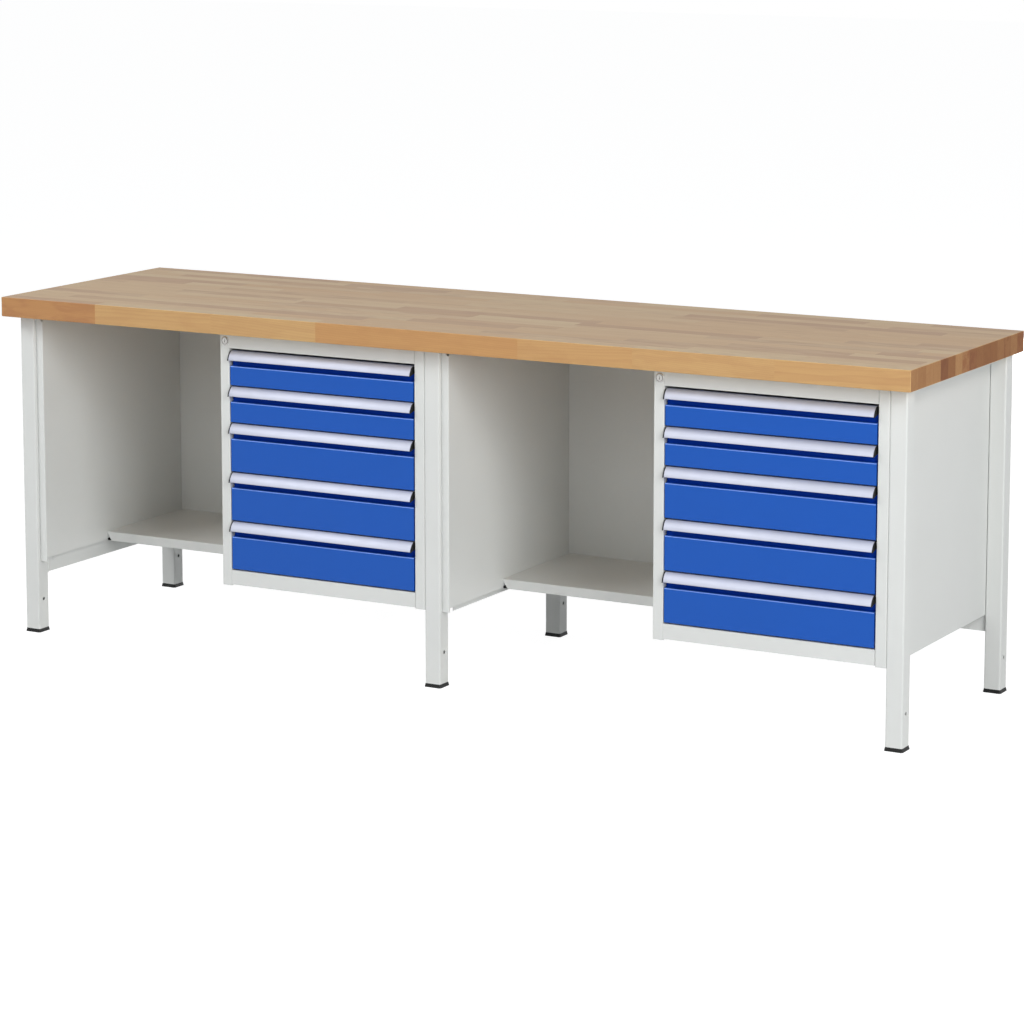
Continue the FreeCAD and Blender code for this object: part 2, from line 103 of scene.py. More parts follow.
def blend_colours(tree, factor, first, second, kind="MIX"):
    """Two colours mixed by a factor."""
    node = add_node(tree, "Mix", {0: factor, 6: first, 7: second}, data_type="RGBA", blend_type=kind)
    return node.outputs[2]


def start_material(name):
    """A new material: its tree, its Principled shader and the Object coordinates."""
    material = bpy.data.materials.new(name)
    material.use_nodes = True
    tree = material.node_tree
    place = tree.nodes.new("ShaderNodeTexCoord").outputs["Object"]
    return material, tree, tree.nodes["Principled BSDF"], place


def emboss(tree, shader, height, strength, depth):
    """Gives a shader a bump."""
    bump = add_node(tree, "Bump", {"Height": height, "Strength": strength, "Distance": depth})
    feed(tree, shader.inputs["Normal"], bump.outputs["Normal"])


def vary(tree, factor, colour, tones):
    """A colour that goes from a darker to a lighter tone of itself."""
    darker, lighter = [[channel * tone for channel in colour] + [1] for tone in tones]
    return blend_colours(tree, factor, darker, lighter)


coat_group, coat_in, coat_out = start_group(
    "Powder coat",
    [("Vector", "Vector", None), ("Peel Scale", "Float", 1 / coat_peel_size),
     ("Cloud Scale", "Float", 1 / coat_cloud_size)],
    [("Peel", "Float"), ("Cloud", "Float")])
peel = add_node(coat_group, "TexNoise", {"Vector": coat_in["Vector"], "Scale": coat_in["Peel Scale"],
                                         "Detail": 2.0})
cloud = add_node(coat_group, "TexNoise", {"Vector": coat_in["Vector"], "Scale": coat_in["Cloud Scale"],
                                          "Detail": 3.0})
coat_group.links.new(peel.outputs["Fac"], coat_out["Peel"])
coat_group.links.new(cloud.outputs["Fac"], coat_out["Cloud"])


def powder_coat(name, colour, roughness, gleam):
    """A powder coat of one colour."""
    material, tree, shader, place = start_material(name)
    coat = add_node(tree, "Group", {"Vector": place}, node_tree=coat_group).outputs
    feed(tree, shader.inputs["Base Color"], vary(tree, coat["Cloud"], colour, coat_tones))
    feed(tree, shader.inputs["Roughness"],
         remap(tree, coat["Cloud"], (0, 1), (roughness - coat_gloss_spread, roughness + coat_gloss_spread)))
    emboss(tree, shader, coat["Peel"], coat_peel_strength, coat_peel_depth)
    shader.inputs["Specular IOR Level"].default_value = gleam
    return material


def finish_node(name, material):
    """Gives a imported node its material."""
    for slot in nodes[name].material_slots:
        slot.material = material


frame_coat = powder_coat("frame_coat", coat_grey, coat_roughness, coat_gleam)
for side in ("left", "centre", "right"):
    finish_node(side + "_leg_frame", frame_coat)


# The left frame's lower rail is a length of the same tube, welded all round to both legs and not dressed off.
# The bead stands a little proud of the tube in even ripples, and the powder coat runs over it.
rail_x = (-1.225, -1.183)
rail_z = (0.153, 0.195)
rail_ends = {"front": -0.263, "rear": 0.3055}
rail_corner = 0.004
bead_radius = 0.0019
bead_rounding = 2
bead_swell = 0.22
bead_cuts = 20
bead_smooth_angle = 60


def settle_mesh():
    """Back in object mode, with the place in the mesh."""
    bpy.ops.object.mode_set(mode="OBJECT")
    bpy.ops.object.transform_apply(location=True, rotation=True, scale=True)


def finish_mesh(angle):
    """A settled mesh with its edges smooth up to an angle in degrees."""
    settle_mesh()
    bpy.ops.object.shade_smooth_by_angle(angle=math.radians(angle))


def turn_faces_out():
    """Selects the whole mesh in edit mode and turns its faces outwards."""
    bpy.ops.mesh.select_all(action="SELECT")
    bpy.ops.mesh.normals_make_consistent(inside=False)


rail_side = rail_z[1] - rail_z[0]
corner_place = rail_side / 2 - rail_corner
for end, y in rail_ends.items():
    bpy.ops.object.select_all(action="DESELECT")
    bpy.ops.mesh.primitive_plane_add(size=rail_side, location=(sum(rail_x) / 2, y, sum(rail_z) / 2),
                                     rotation=(math.pi / 2, 0, 0))
    bead = bpy.context.object
    bpy.ops.object.mode_set(mode="EDIT")
    bpy.ops.mesh.select_all(action="SELECT")
    bpy.ops.mesh.delete(type="ONLY_FACE")
    bpy.ops.mesh.select_all(action="SELECT")
    bpy.ops.mesh.subdivide(number_cuts=bead_cuts)
    bpy.ops.object.mode_set(mode="OBJECT")
    for vertex in bead.data.vertices:
        corner = Vector((max(-corner_place, min(corner_place, vertex.co.x)),
                         max(-corner_place, min(corner_place, vertex.co.y)), 0))
        vertex.co = corner + (vertex.co - corner).normalized() * rail_corner
    bpy.ops.object.convert(target="CURVE")
    bead.data.bevel_depth = bead_radius
    bead.data.bevel_resolution = bead_rounding
    for number, point in enumerate(bead.data.splines[0].points):
        point.radius = 1 + bead_swell * (number % 2)
    bpy.ops.object.convert(target="MESH")
    bead = bpy.context.object
    bead.name = "left_frame_%s_weld" % end
    bpy.ops.object.mode_set(mode="EDIT")
    turn_faces_out()
    finish_mesh(bead_smooth_angle)
    bead.data.materials.append(frame_coat)
    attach(bead, "bench")


# The feet are black polypropylene mouldings, pushed into the ends of the legs.
# Their skin has a fine matt grain from the mould.
plastic_black = (0.006, 0.0065, 0.0065)
plastic_tones = (0.8, 1.3)
plastic_gleam = 0.25
plastic_roughness = (0.46, 0.58)
plastic_grain_size = 0.0006
plastic_grain_depth = 0.00003
plastic_grain_strength = 0.4
plastic_cloud_scale = 60.0

plastic_group, plastic_in, plastic_out = start_group(
    "Moulded skin", [("Vector", "Vector", None), ("Grain Scale", "Float", 1 / plastic_grain_size)],
    [("Grain", "Float"), ("Cloud", "Float")])
grain = add_node(plastic_group, "TexVoronoi", {"Vector": plastic_in["Vector"],
                                               "Scale": plastic_in["Grain Scale"]})
cloud = add_node(plastic_group, "TexNoise", {"Vector": plastic_in["Vector"], "Scale": plastic_cloud_scale,
                                             "Detail": 3.0})
plastic_group.links.new(grain.outputs["Distance"], plastic_out["Grain"])
plastic_group.links.new(cloud.outputs["Fac"], plastic_out["Cloud"])

black_plastic, tree, shader, place = start_material("black_plastic")
skin = add_node(tree, "Group", {"Vector": place}, node_tree=plastic_group).outputs
feed(tree, shader.inputs["Base Color"], vary(tree, skin["Cloud"], plastic_black, plastic_tones))
feed(tree, shader.inputs["Roughness"], remap(tree, skin["Cloud"], (0, 1), plastic_roughness))
emboss(tree, shader, skin["Grain"], plastic_grain_strength, plastic_grain_depth)
shader.inputs["Specular IOR Level"].default_value = plastic_gleam
finish_node("leg_feet", black_plastic)


# The side and back panels are trays folded from steel sheet, with their flanges turned inwards all round.
# They are powder coated as the frames are, and bolted to the legs.
for panel in ("left_side_panel", "centre_side_panel", "left_back_panel", "right_back_panel"):
    finish_node(panel, frame_coat)


# The half-depth shelves are folded steel sheet in the same coat, with a deep lip along the front.
# Each is screwed between a side panel and a cabinet's wall, against the back panel.
for side in ("left", "right"):
    finish_node(side + "_shelf", frame_coat)


# A black plastic plug closes the open corner at each end of a shelf's lip, under the mitre of the fold.
# It is moulded with soft corners and snaps between the lip and the end flange.
plug_width = 0.010
plug_height = 0.0065
plug_depth = 0.009
plug_end_distance = 0.0015
plug_corner = 0.0014
plug_corner_steps = 3
plug_smooth_angle = 40


def start_box(name, low, high):
    """A box between two corners, in edit mode with the whole mesh selected."""
    bpy.ops.object.select_all(action="DESELECT")
    bpy.ops.mesh.primitive_cube_add(size=1, location=[(first + last) / 2 for first, last in zip(low, high)])
    box = bpy.context.object
    box.name = name
    bpy.ops.object.mode_set(mode="EDIT")
    bpy.ops.mesh.select_all(action="SELECT")
    bpy.ops.transform.resize(value=[last - first for first, last in zip(low, high)])
    return box


for side in ("left", "right"):
    low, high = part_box(side + "_shelf")
    starts = {"left": low.x + plug_end_distance, "right": high.x - plug_end_distance - plug_width}
    for end, x in starts.items():
        plug = start_box("%s_shelf_%s_plug" % (side, end), (x, low.y, low.z),
                         (x + plug_width, low.y + plug_depth, low.z + plug_height))
        bpy.ops.mesh.bevel(offset=plug_corner, segments=plug_corner_steps, affect="EDGES")
        finish_mesh(plug_smooth_angle)
        plug.data.materials.append(black_plastic)
        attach(plug, "bench")


# The cabinet casings are open-fronted boxes of folded steel sheet, with hollow stiles beside the drawers.
# The folds are spot welded, and the whole box is powder coated before it is screwed between the legs.
for side in ("left", "right"):
    finish_node(side + "_cabinet_casing", frame_coat)


# A strip of light grey tape lies in each joint between a cabinet and the legs that it is screwed to.
# It is as thick as the joint, and its edge stays just behind the rounded corners of the steel.
front_tape_thickness = 0.0005
rear_tape_thickness = 0.001
tape_width = 0.008
tape_end_distance = 0.002
tape_setback = 0.0032
tape_lip = 0.0012
tape_smooth_angle = 30
for side in ("left", "right"):
    low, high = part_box(side + "_cabinet_casing")
    bottom = low.z + tape_end_distance
    top = high.z - tape_end_distance
    front_y = low.y + tape_setback
    rear_x = high.x + tape_lip
    spans = {"front": ((high.x, front_y, bottom), (high.x + front_tape_thickness, front_y + tape_width, top)),
             "rear": ((rear_x - tape_width, high.y, bottom), (rear_x, high.y + rear_tape_thickness, top))}
    for end, corners in spans.items():
        tape = start_box("%s_cabinet_%s_tape" % (side, end), *corners)
        finish_mesh(tape_smooth_angle)
        tape.data.materials.append(frame_coat)
        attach(tape, "bench")


# The telescopic slides and the lock bars are cold-rolled steel strip, bright zinc plated.
# The rolls leave fine streaks along the strip, and the zinc has a faint cloudy spangle.
zinc_tone = (0.62, 0.63, 0.65)
zinc_roughness = 0.34
zinc_gloss_spread = 0.08
zinc_stretch = (1.0, 0.03, 1.0)
zinc_streak_depth = 0.00001
metal_tones = (0.93, 1.05)
metal_streak_scale = 900.0
metal_streak_range = (0.3, 0.7)
metal_streak_strength = 0.5
metal_cloud_scale = 25.0
drawer_numbers = range(1, 6)


def stretched(tree, place, scales):
    """A place with each of its axes scaled, for a texture that is longer one way."""
    return add_node(tree, "VectorMath", {0: place, 1: scales}, operation="MULTIPLY").outputs[0]


streak_group, streak_in, streak_out = start_group(
    "Rolled streaks",
    [("Vector", "Vector", None), ("Fineness", "Float", metal_streak_scale),
     ("Stretch", "Vector", (1.0, 1.0, 1.0))],
    [("Streak", "Float"), ("Cloud", "Float")])
streak_place = stretched(streak_group, streak_in["Vector"], streak_in["Stretch"])
streak = add_node(streak_group, "TexNoise", {"Vector": streak_place, "Scale": streak_in["Fineness"],
                                             "Detail": 4.0, "Roughness": 0.6})
cloud = add_node(streak_group, "TexNoise", {"Vector": streak_in["Vector"], "Scale": metal_cloud_scale,
                                            "Detail": 3.0})
streak_group.links.new(streak.outputs["Fac"], streak_out["Streak"])
streak_group.links.new(cloud.outputs["Fac"], streak_out["Cloud"])


def drawn_metal(name, colour, roughness, spread, stretch, depth):
    """A bare metal with streaks, which are long where stretch is small."""
    material, tree, shader, place = start_material(name)
    marks = add_node(tree, "Group", {"Vector": place, "Stretch": stretch}, node_tree=streak_group).outputs
    feed(tree, shader.inputs["Base Color"], vary(tree, marks["Cloud"], colour, metal_tones))
    feed(tree, shader.inputs["Roughness"],
         remap(tree, marks["Streak"], metal_streak_range, (roughness - spread, roughness + spread)))
    emboss(tree, shader, marks["Streak"], metal_streak_strength, depth)
    shader.inputs["Metallic"].default_value = 1.0
    return material


zinc_plate = drawn_metal("zinc_plate", zinc_tone, zinc_roughness, zinc_gloss_spread, zinc_stretch,
                         zinc_streak_depth)
finish_node("cabinet_slides", zinc_plate)
for side in ("left", "right"):
    finish_node(side + "_lock_bar", zinc_plate)
    for number in drawer_numbers:
        finish_node("%s_drawer_%d_mid_slides" % (side, number), zinc_plate)


# Zinc-plated M8 bolts with washers pass through the back panels' flanges into the rear legs, three to a side.
# Each hexagonal head is cold forged, with its edges a little rounded, as are those of the washer.
washer_radius = 0.0085
washer_thickness = 0.0016
washer_sides = 32
washer_arris = 0.0003
head_sides = 6
head_across = 0.013
head_height = 0.0053
head_arris = 0.0006
arris_steps = 2
bolt_edge_angle = 30
bolt_smooth_angle = 35
bolt_end_distance = 0.07
flange_sheet = 0.0012


def apply_modifier(piece, kind, **settings):
    """Adds a modifier and applies it."""
    modifier = piece.modifiers.new(kind.lower(), kind)
    for title, setting in settings.items():
        setattr(modifier, title, setting)
    bpy.ops.object.modifier_apply(modifier=modifier.name)


def round_edges(piece, width, angle):
    """Rounds the edges of a piece that turn by more than an angle in degrees."""
    apply_modifier(piece, "BEVEL", width=width, segments=arris_steps, limit_method="ANGLE",
                   angle_limit=math.radians(angle))


def copy_piece(piece, name, place):
    """A copy of a piece with its own mesh, put in its place."""
    copy = piece.copy()
    copy.data = piece.data.copy()
    copy.name = name
    copy.data.name = name
    copy.data.transform(place)
    bpy.context.collection.objects.link(copy)
    return copy


def turned_disc(sides, radius, low_z, thickness, arris):
    """A disc or a many-sided head that stands on a height, with rounded edges."""
    bpy.ops.object.select_all(action="DESELECT")
    bpy.ops.mesh.primitive_cylinder_add(vertices=sides, radius=radius, depth=thickness,
                                        location=(0, 0, low_z + thickness / 2))
    disc = bpy.context.object
    bpy.ops.object.transform_apply(location=True)
    round_edges(disc, arris, bolt_edge_angle)
    return disc


washer = turned_disc(washer_sides, washer_radius, 0, washer_thickness, washer_arris)
head_radius = head_across / 2 / math.cos(math.pi / head_sides)
bolt = turned_disc(head_sides, head_radius, washer_thickness, head_height, head_arris)
washer.select_set(True)
bpy.ops.object.join()
bpy.ops.object.shade_smooth_by_angle(angle=math.radians(bolt_smooth_angle))
bolt.data.materials.append(zinc_plate)
for panel in ("left_back_panel", "right_back_panel"):
    low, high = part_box(panel)
    heights = (low.z + bolt_end_distance, (low.z + high.z) / 2, high.z - bolt_end_distance)
    ends = (("left", low.x + flange_sheet, math.pi / 2), ("right", high.x - flange_sheet, -math.pi / 2))
    for end, x, turn in ends:
        for number, z in enumerate(heights, 1):
            place = Matrix.Translation((x, (low.y + high.y) / 2, z)) @ Matrix.Rotation(turn, 4, "Y")
            piece = copy_piece(bolt, "%s_%s_bolt_%d" % (panel, end, number), place)
            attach(piece, "bench")
bpy.data.objects.remove(bolt)


# The drawer trays are folded steel sheet in the same light grey, with a stiffening hem along their sides.
# The inner slide members are spot welded to them, and each left wall carries the lug for the lock bar.
tray_coat = powder_coat("tray_coat", coat_grey, coat_roughness, coat_gleam)
for side in ("left", "right"):
    for number in drawer_numbers:
        finish_node("%s_drawer_%d_tray" % (side, number), tray_coat)


# The drawer fronts are folded steel sheet in blue powder coat, with a finger recess above each flat face.
# The recess is coloured a deeper blue as a painted shade and has a low gleam, and the fold below it is
# coloured a paler blue as a painted highlight.
coat_blue = (0.0055, 0.075, 0.415)
blue_roughness = 0.30
face_gleam = 0.8
gleam_tint = (0.30, 0.55, 1.0, 1)
# Painted highlight: the paler blue of the fold, and the rising and forward-facing normals that pick the fold
# out
fold_painted_highlight = (0.20, 0.34, 0.85, 1)
fold_rising = (0.05, 0.25)
fold_forward = (-0.2, -0.4)
# Painted shade: the deeper blue of the recess, its low gleam, and where the recess begins and ends behind the
# face
recess_painted_shade = (0.0030, 0.040, 0.360, 1)
recess_gleam = 0.05
recess_start = 0.003
recess_end = 0.0105

drawer_blue = powder_coat("drawer_blue", coat_blue, blue_roughness, face_gleam)
tree = drawer_blue.node_tree
shader = tree.nodes["Principled BSDF"]
shader.inputs["Specular Tint"].default_value = gleam_tint
coordinates = tree.nodes["Texture Coordinate"].outputs
face_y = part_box("left_drawer_1_front")[0].y
depth = add_node(tree, "SeparateXYZ", {0: coordinates["Object"]}).outputs[1]
recess = remap(tree, depth, (face_y + recess_start, face_y + recess_end), (0, 1))
facing = add_node(tree, "SeparateXYZ", {0: coordinates["Normal"]}).outputs
rising = remap(tree, facing[2], fold_rising, (0, 1))
forward = remap(tree, facing[1], fold_forward, (0, 1))
# Painted shade: the recess behind the face is coloured a deeper blue
colour = blend_colours(tree, recess, shader.inputs["Base Color"].links[0].from_socket, recess_painted_shade)
# Painted highlight: the fold that rises and faces forward below the recess is coloured a paler blue
colour = blend_colours(tree, work_out(tree, "MULTIPLY", rising, forward), colour, fold_painted_highlight)
feed(tree, shader.inputs["Base Color"], colour)
feed(tree, shader.inputs["Specular IOR Level"], remap(tree, recess, (0, 1), (face_gleam, recess_gleam)))
for side in ("left", "right"):
    for number in drawer_numbers:
        finish_node("%s_drawer_%d_front" % (side, number), drawer_blue)


# Each handle is a satin anodised aluminium extrusion: a web behind, a flat top and a curved face to pull on.
# It is riveted over the top of the recess, and a black plastic cap closes each of its ends.
aluminium_tone = (0.47, 0.49, 0.57)
aluminium_roughness = 0.62
aluminium_gloss_spread = 0.05
aluminium_stretch = (0.02, 1.0, 1.0)
aluminium_streak_depth = 0.000008
handle_wall = 0.0018
handle_web_drop = 0.016
handle_land = 0.010
handle_arc_radius = 0.0324
handle_arc_steps = 14
handle_arris = 0.0003
handle_edge_angle = 40
handle_smooth_angle = 30
cap_thickness = 0.0025
cap_arris = 0.0004
cap_swell = 1.06
merge_distance = 0.00001

handle_aluminium = drawn_metal("handle_aluminium", aluminium_tone, aluminium_roughness,
                               aluminium_gloss_spread, aluminium_stretch, aluminium_streak_depth)
first_low, first_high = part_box("left_drawer_1_handle")
top_line = first_high.z
web_back = first_high.y
arc_start = Vector((0, web_back - handle_land, top_line))
arc_end = Vector((0, first_low.y, first_low.z))
chord = arc_end - arc_start
inward = Vector((0, -chord.z, chord.y)).normalized()
handle_arc_angle = 2 * math.asin(chord.length / 2 / handle_arc_radius)
arc_centre = arc_start + chord / 2 + inward * math.sqrt(handle_arc_radius ** 2 - chord.length_squared / 4)


def merge_points():
    """Selects the whole mesh in edit mode and merges the points that coincide."""
    bpy.ops.mesh.select_all(action="SELECT")
    bpy.ops.mesh.remove_doubles(threshold=merge_distance)


def press(value):
    """Extrudes what is selected in edit mode and moves the new end."""
    bpy.ops.mesh.extrude_region_move(TRANSFORM_OT_translate={"value": value})


def start_line(length, place):
    """An object in edit mode that holds one edge along X, or one point where the length is 0."""
    bpy.ops.object.select_all(action="DESELECT")
    bpy.ops.mesh.primitive_plane_add(size=1, location=place)
    bpy.ops.object.mode_set(mode="EDIT")
    bpy.ops.mesh.select_all(action="SELECT")
    bpy.ops.transform.resize(value=(length, 0, 1))
    bpy.ops.mesh.remove_doubles(threshold=merge_distance)
    return bpy.context.object


def handle_path():
    """Extrudes the line up the web, over the top and round the curved face."""
    press((0, 0, handle_web_drop))
    press((0, -handle_land, 0))
    bpy.ops.mesh.spin(steps=handle_arc_steps, angle=-handle_arc_angle, center=arc_centre, axis=(1, 0, 0))


handle_length = first_high.x - first_low.x
web_bottom = top_line - handle_web_drop
strip = start_line(handle_length - 2 * cap_thickness,
                   ((first_low.x + first_high.x) / 2, web_back, web_bottom))
handle_path()
merge_points()
turn_faces_out()
settle_mesh()
land_face = strip.data.polygons[1]
wall_side = -1 if land_face.normal.z > 0 else 1
apply_modifier(strip, "SOLIDIFY", thickness=handle_wall, offset=wall_side, use_even_offset=True)
round_edges(strip, handle_arris, handle_edge_angle)
bpy.ops.object.mode_set(mode="EDIT")
turn_faces_out()
finish_mesh(handle_smooth_angle)
strip.data.materials.append(handle_aluminium)

cap = start_line(0, (first_low.x, web_back, web_bottom))
handle_path()
merge_points()
bpy.ops.mesh.edge_face_add()
press((cap_thickness, 0, 0))
bpy.ops.mesh.select_all(action="SELECT")
bpy.ops.transform.resize(value=(1, cap_swell, cap_swell), center_override=(first_low.x, web_back, top_line))
turn_faces_out()
settle_mesh()
round_edges(cap, cap_arris, handle_edge_angle)
finish_mesh(handle_smooth_angle)
cap.data.materials.append(black_plastic)

across = Matrix.Translation((handle_length - cap_thickness, 0, 0))
for side in ("left", "right"):
    for number in drawer_numbers:
        drawer = "%s_drawer_%d" % (side, number)
        node = drawer + "_handle"
        shift = Matrix.Translation(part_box(node)[0] - first_low)
        made = [(copy_piece(strip, node + "_strip", shift), "handle_aluminium"),
                (copy_piece(cap, node + "_left_cap", shift), "black_plastic"),
                (copy_piece(cap, node + "_right_cap", shift @ across), "black_plastic")]
        for piece, slot in made:
            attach(piece, drawer)
            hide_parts(node)
bpy.data.objects.remove(strip)
bpy.data.objects.remove(cap)


# The cylinder locks are nickel-plated brass: a barrel turned with a grooved rim, and a core with a keyway.
# The barrel is pressed through the stile from the front, and the core turns in its bore.
nickel_tone = (0.52, 0.51, 0.49)
nickel_roughness = 0.26
nickel_gloss_spread = 0.05
nickel_stretch = (1.0, 1.0, 1.0)
nickel_streak_depth = 0.000004
rim_radius = 0.011
rim_height = 0.002
rim_curve = ((0.0102, 0.0002), (0.0108, 0.0008))
rim_steps = 48
groove_mouth = (0.0080, 0.0092)
groove_floor = (0.0082, 0.0089)
groove_depth = 0.0016
barrel_radius = 0.009
bore_radius = 0.00708
bore_arris = 0.0004
barrel_smooth_angle = 35

lock_nickel = drawn_metal("lock_nickel", nickel_tone, nickel_roughness, nickel_gloss_spread, nickel_stretch,
                          nickel_streak_depth)
for side in ("left", "right"):
    finish_node(side + "_lock_core", lock_nickel)
low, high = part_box("lock_barrels")
front = low.y
stile_face = front + rim_height
section = [(bore_radius, front + bore_arris), (bore_radius + bore_arris, front),
           (groove_mouth[0], front), (groove_floor[0], front + groove_depth),
           (groove_floor[1], front + groove_depth), (groove_mouth[1], front)]
section += [(radius, front + depth) for radius, depth in rim_curve]
section += [(rim_radius, stile_face), (barrel_radius, stile_face), (barrel_radius, high.y),
            (bore_radius, high.y)]
for side, x in (("left", low.x + rim_radius), ("right", high.x - rim_radius)):
    centre = Vector((x, front, low.z + rim_radius))
    last = section[-1]
    barrel = start_line(0, (x, last[1], centre.z + last[0]))
    for radius, y in section:
        press((0, y - last[1], radius - last[0]))
        last = (radius, y)
    merge_points()
    bpy.ops.mesh.spin(steps=rim_steps, angle=2 * math.pi, center=centre, axis=(0, 1, 0))
    merge_points()
    bpy.ops.mesh.normals_make_consistent(inside=False)
    barrel.name = side + "_lock_barrel"
    finish_mesh(barrel_smooth_angle)
    barrel.data.materials.append(lock_nickel)
    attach(barrel, "bench")
    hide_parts("lock_barrels")


# The worktop is a board of solid beech, laminated from butt-jointed blocks on edge and finished with oil.
# Each block keeps its own tone and grain, and the ends of the board show the darker end grain.
board_length = 2.5
board_width = 0.7
board_top = 0.88
face_margin = 0.0005
stave_count = 16
stave_width = board_width / stave_count
block_length = 0.40
block_number = 90837
block_start_spread = 37.0
block_wave_rate = 2.3
block_wave_start_spread = 50.0
block_wave_size = 0.2
heart_spread = (9.0, 0.16, 0.10)
heart_height = 0.80
heart_lean = 0.05
ring_width = 0.0045
ring_sharpness = 2.5
ring_wander_scales = (2.2, 14.0, 14.0)
ring_wander = 0.012
ring_red = 0.26
figure_scales = (9.0, 42.0, 42.0)
figure_range = (0.47, 0.58)
figure_red = 0.24
figure_warmth = (0.55, 0.8)
figure_growth = (0.6, 3.0)
streak_scales = (4.0, 170.0, 170.0)
streak_range = (0.3, 0.7)
streak_red = 0.18
fleck_scales = (260.0, 1500.0, 1500.0)
fleck_edge = (0.16, 0.26)
fleck_chance = 0.55
fleck_strength = 0.45
joint_width = 0.0004
joint_strength = 0.45
beech_pale = (0.750, 0.509, 0.208, 1)
beech_golden = (0.659, 0.361, 0.119, 1)
beech_red = (0.430, 0.190, 0.066, 1)
beech_fleck = (0.340, 0.160, 0.070, 1)
red_warmth = (0.62, 1.0)
red_most = 0.9
end_pale = (0.59, 0.48, 0.485, 1)
end_dark = (0.40, 0.31, 0.32, 1)
end_roughness = 0.8
# Painted sheen: the top face is tinted greyer and bluer, then mixed a little towards a pale tone
top_painted_sheen_tint = (0.838, 0.951, 1.277, 1)
top_painted_sheen = (0.72, 0.56, 0.42, 1)
top_painted_sheen_strength = 0.3
oil_roughness = (0.52, 0.64)
grain_strength = 0.35
grain_depth = 0.00004

beech_group, beech_in, beech_out = start_group(
    "Laminated beech",
    [("Vector", "Vector", None), ("Stave Width", "Float", stave_width),
     ("Block Length", "Float", block_length), ("Ring Width", "Float", ring_width),
     ("Joint Width", "Float", joint_width)],
    [("Tone", "Float"), ("Warmth", "Float"), ("Ring", "Float"), ("Figure", "Float"), ("Streak", "Float"),
     ("Fleck", "Float"), ("Joint", "Float")])
tree = beech_group
axes = add_node(tree, "SeparateXYZ", {0: beech_in["Vector"]}).outputs
across = work_out(tree, "DIVIDE", work_out(tree, "ADD", axes[1], board_width / 2), beech_in["Stave Width"])
stave = work_out(tree, "FLOOR", across)
stave_random = add_node(tree, "TexWhiteNoise", {"W": stave}, noise_dimensions="1D").outputs["Value"]
along = work_out(tree, "ADD", work_out(tree, "DIVIDE", axes[0], beech_in["Block Length"]),
                 work_out(tree, "MULTIPLY", stave_random, block_start_spread))
wave = work_out(tree, "SINE", work_out(tree, "ADD", work_out(tree, "MULTIPLY", along, block_wave_rate),
                                       work_out(tree, "MULTIPLY", stave_random, block_wave_start_spread)))
along = work_out(tree, "ADD", along, work_out(tree, "MULTIPLY", wave, block_wave_size))
block = work_out(tree, "FLOOR", along)
block_place = add_node(tree, "CombineXYZ", {0: block, 1: stave, 2: block_number}).outputs[0]
block_colour = add_node(tree, "TexWhiteNoise", {"Vector": block_place},
                        noise_dimensions="3D").outputs["Color"]
block_random = add_node(tree, "SeparateColor", {0: block_colour}).outputs
tree.links.new(block_random[0], beech_out["Tone"])
tree.links.new(block_random[1], beech_out["Warmth"])

# Growth rings round a heart line that lies off each block, and leans a little along it
shift = add_node(tree, "VectorMath", {0: block_colour, 1: (0.5, 0.5, 0.5)}, operation="SUBTRACT").outputs[0]
shift = stretched(tree, shift, heart_spread)
local = add_node(tree, "VectorMath", {0: beech_in["Vector"], 1: shift}, operation="ADD").outputs[0]
local_axes = add_node(tree, "SeparateXYZ", {0: local}).outputs
stave_middle = work_out(tree, "MULTIPLY", work_out(tree, "ADD", stave, 0.5), beech_in["Stave Width"])
local_y = work_out(tree, "SUBTRACT", work_out(tree, "ADD", local_axes[1], board_width / 2), stave_middle)
lean = work_out(tree, "MULTIPLY", work_out(tree, "SUBTRACT", block_random[2], 0.5), heart_lean)
local_z = work_out(tree, "ADD", work_out(tree, "SUBTRACT", local_axes[2], heart_height),
                   work_out(tree, "MULTIPLY", work_out(tree, "SUBTRACT", along, block), lean))
wander = add_node(tree, "TexNoise", {"Vector": stretched(tree, local, ring_wander_scales), "Scale": 1.0,
                                     "Detail": 2.0}).outputs["Fac"]
distance = work_out(tree, "SQRT", work_out(tree, "ADD", work_out(tree, "MULTIPLY", local_y, local_y),
                                           work_out(tree, "MULTIPLY", local_z, local_z)))
distance = work_out(tree, "ADD", distance, work_out(tree, "MULTIPLY", wander, ring_wander))
ring = work_out(tree, "FRACT", work_out(tree, "DIVIDE", distance, beech_in["Ring Width"]))
tree.links.new(work_out(tree, "POWER", ring, ring_sharpness), beech_out["Ring"])

# Soft reddish clouds along the block
figure = add_node(tree, "TexNoise", {"Vector": stretched(tree, local, figure_scales), "Scale": 1.0,
                                     "Detail": 3.0, "Distortion": 0.6})
tree.links.new(figure.outputs["Fac"], beech_out["Figure"])

# Fine streaks along the block, and the short dark ray flecks of beech
streaks = add_node(tree, "TexNoise", {"Vector": stretched(tree, local, streak_scales), "Scale": 1.0,
                                      "Detail": 4.0})
tree.links.new(streaks.outputs["Fac"], beech_out["Streak"])
flecks = add_node(tree, "TexVoronoi", {"Vector": stretched(tree, local, fleck_scales), "Scale": 1.0}).outputs
fleck_size = remap(tree, flecks["Distance"], fleck_edge, (1, 0))
fleck_random = add_node(tree, "SeparateColor", {0: flecks["Color"]}).outputs[0]
fleck_kept = work_out(tree, "GREATER_THAN", fleck_random, fleck_chance)
tree.links.new(work_out(tree, "MULTIPLY", fleck_size, fleck_kept), beech_out["Fleck"])


def distance_to_line(tree, place, width):
    """How far a place, counted in widths, is from the nearest whole number, in metres."""
    off_middle = work_out(tree, "ABSOLUTE", work_out(tree, "SUBTRACT", work_out(tree, "FRACT", place), 0.5))
    return work_out(tree, "MULTIPLY", work_out(tree, "SUBTRACT", 0.5, off_middle), width)


